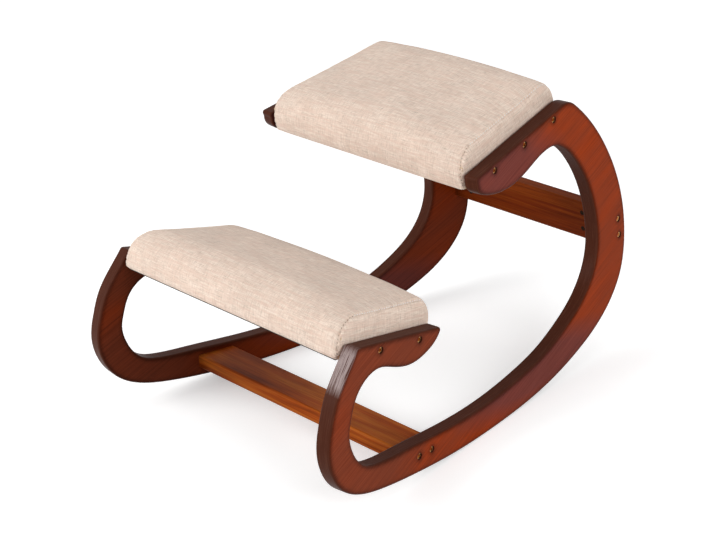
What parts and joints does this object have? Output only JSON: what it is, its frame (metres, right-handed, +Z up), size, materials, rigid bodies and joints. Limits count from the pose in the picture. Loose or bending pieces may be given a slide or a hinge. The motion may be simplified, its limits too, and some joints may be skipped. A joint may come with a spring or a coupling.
{
  "type": "kneeling chair",
  "caption": "Rocking kneeling chair: two stained wood side frames with curved runners carry a sloping padded seat and a padded kneeler, tied by a front and a rear stretcher.",
  "frame": {"origin": "middle of the bounding box in plan, on the floor under the lowest point of the runners", "axes": "+X across the chair to the sitter's left, +Y from the kneeler at the front towards the rear, +Z up; the chair leans as it does at rest with nobody on it"},
  "size_m": [0.5318, 0.7122, 0.4814],
  "materials": {
    "frame_stain": "satin",
    "stretcher_stain": "satin",
    "rail_pine": "matte",
    "deck_plywood": "matte",
    "dowel_beech": "matte",
    "cover_weave": "matte",
    "foam": "matte",
    "dust_cloth": "matte",
    "yellow_plated_bolt": "polished",
    "yellow_plated_nut": "satin",
    "plated_steel": "satin"
  },
  "bodies": {
    "root": {"left_side_frame": "frame_stain", "right_side_frame": "frame_stain", "front_stretcher": "stretcher_stain", "rear_stretcher": "stretcher_stain", "front_stretcher_bolts": "yellow_plated_bolt", "rear_stretcher_bolts": "yellow_plated_bolt", "front_barrel_nuts": "yellow_plated_nut", "rear_barrel_nuts": "yellow_plated_nut", "seat_left_rail": "rail_pine", "seat_right_rail": "rail_pine", "seat_front_rail": "rail_pine", "seat_rear_rail": "rail_pine", "seat_deck": "deck_plywood", "seat_frame_dowels": "dowel_beech", "seat_deck_screws": "plated_steel", "seat_foam": "foam", "seat_cover": "cover_weave", "seat_bottom_cloth": "dust_cloth", "seat_staples": "plated_steel", "seat_inserts": "plated_steel", "seat_bolts": "yellow_plated_bolt", "kneeler_left_rail": "rail_pine", "kneeler_right_rail": "rail_pine", "kneeler_front_rail": "rail_pine", "kneeler_rear_rail": "rail_pine", "kneeler_deck": "deck_plywood", "kneeler_frame_dowels": "dowel_beech", "kneeler_deck_screws": "plated_steel", "kneeler_foam": "foam", "kneeler_cover": "cover_weave", "kneeler_bottom_cloth": "dust_cloth", "kneeler_staples": "plated_steel", "kneeler_inserts": "plated_steel", "kneeler_bolts": "yellow_plated_bolt"}
  },
  "joints": []
}
